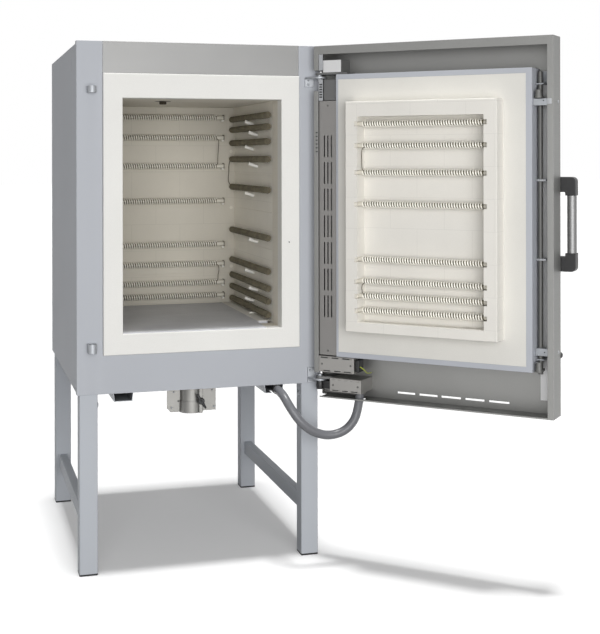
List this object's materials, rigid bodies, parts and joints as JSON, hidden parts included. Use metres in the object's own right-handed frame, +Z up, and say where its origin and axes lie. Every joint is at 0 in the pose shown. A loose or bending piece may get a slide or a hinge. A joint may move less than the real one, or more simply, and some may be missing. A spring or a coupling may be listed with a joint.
{
  "type": "ceramic kiln",
  "caption": "Front-loading electric chamber kiln for ceramics on a tube stand, with a swing door, a sliding lock and a fresh-air slider.",
  "frame": {"origin": "centre of the footprint box on the floor, with the door open at its rest pose", "axes": "+X to the right of the body seen from the front, +Y to the back, +Z up"},
  "size_m": [1.5167, 1.6069, 1.775],
  "materials": {
    "painted_steel": "satin light blue-grey paint",
    "stainless_steel": "brushed",
    "bare_steel": "zinc plated",
    "fibre_collar": "matt white fibre",
    "insulating_brick": "matt, fine pores",
    "backing_board": "matt",
    "silicon_carbide": "matt grey",
    "support_ceramic": "matt",
    "heating_wire": "oxidised wire",
    "black_plastic": "fine grain",
    "grey_hose": "smooth",
    "bare_aluminium": "satin",
    "foot_rubber": "matt",
    "earth_insulation": "green with a yellow stripe"
  },
  "bodies": {
    "body": {"front_frame": "painted_steel", "side_panel_left": "painted_steel", "side_panel_right": "painted_steel", "roof_panel": "painted_steel", "rear_panel": "painted_steel", "floor_panel": "painted_steel", "leg_front_left": "painted_steel", "leg_front_right": "painted_steel", "leg_rear_left": "painted_steel", "leg_rear_right": "painted_steel", "stand_rails": "painted_steel", "front_top_panel": "stainless_steel", "inlet_duct": "stainless_steel", "exhaust_flange": "stainless_steel", "hinge_bracket_upper": "bare_steel", "hinge_bracket_lower": "bare_steel", "latch_keepers": "bare_steel", "frame_bolts": "bare_steel", "under_channels": "bare_steel", "inner_rear_sheet": "bare_steel", "door_collar": "fibre_collar", "front_bricks": "insulating_brick", "wall_bricks_left": "insulating_brick", "wall_bricks_right": "insulating_brick", "wall_bricks_rear": "insulating_brick", "roof_bricks": "insulating_brick", "floor_bricks": "insulating_brick", "backing_insulation": "backing_board", "floor_plate": "silicon_carbide", "element_tubes_left": "support_ceramic", "element_tubes_right": "support_ceramic", "element_tubes_rear": "support_ceramic", "tube_pins": "support_ceramic", "element_terminals": "support_ceramic", "exhaust_sleeve": "support_ceramic", "thermocouple": "support_ceramic", "windings_left": "heating_wire", "windings_right": "heating_wire", "windings_rear": "heating_wire", "floor_windings": "heating_wire", "conduit_gland": "black_plastic", "conduit": "grey_hose", "foot_pads": "foot_rubber"},
    "door": {"door_shell": "stainless_steel", "door_tray": "painted_steel", "door_blanket": "fibre_collar", "door_plug": "insulating_brick", "door_element_tubes": "support_ceramic", "door_windings": "heating_wire", "hinge_cover": "stainless_steel", "terminal_box_upper": "stainless_steel", "terminal_box_lower": "stainless_steel", "earth_wire": "earth_insulation", "door_hinges": "stainless_steel", "latch_guides": "stainless_steel"},
    "latch": {"latch_rod": "stainless_steel", "handle_ends": "black_plastic", "handle_tube": "bare_aluminium"},
    "inlet_sleeve": {"inlet_slider": "stainless_steel"},
    "wing_screw": {"inlet_knob": "black_plastic"}
  },
  "joints": [
    {"name": "door_hinge", "type": "hinge", "parent": "body", "child": "door", "pos_m": [0.0635, -0.221, 1.15], "axis": [0, 0, 1], "range_deg": [-136, 0], "deforming": ["conduit"]},
    {"name": "lock_slide", "type": "slide", "parent": "door", "child": "latch", "axis": [0, 0, 1], "range_m": [0, 0.02]},
    {"name": "air_slide", "type": "slide", "parent": "body", "child": "inlet_sleeve", "axis": [0, 0, -1], "range_m": [0, 0.025]},
    {"name": "wing_screw_turn", "type": "hinge", "parent": "inlet_sleeve", "child": "wing_screw", "pos_m": [-0.323, -0.085, 0.534], "axis": [0, -1, 0], "range_deg": [0, 180]}
  ]
}
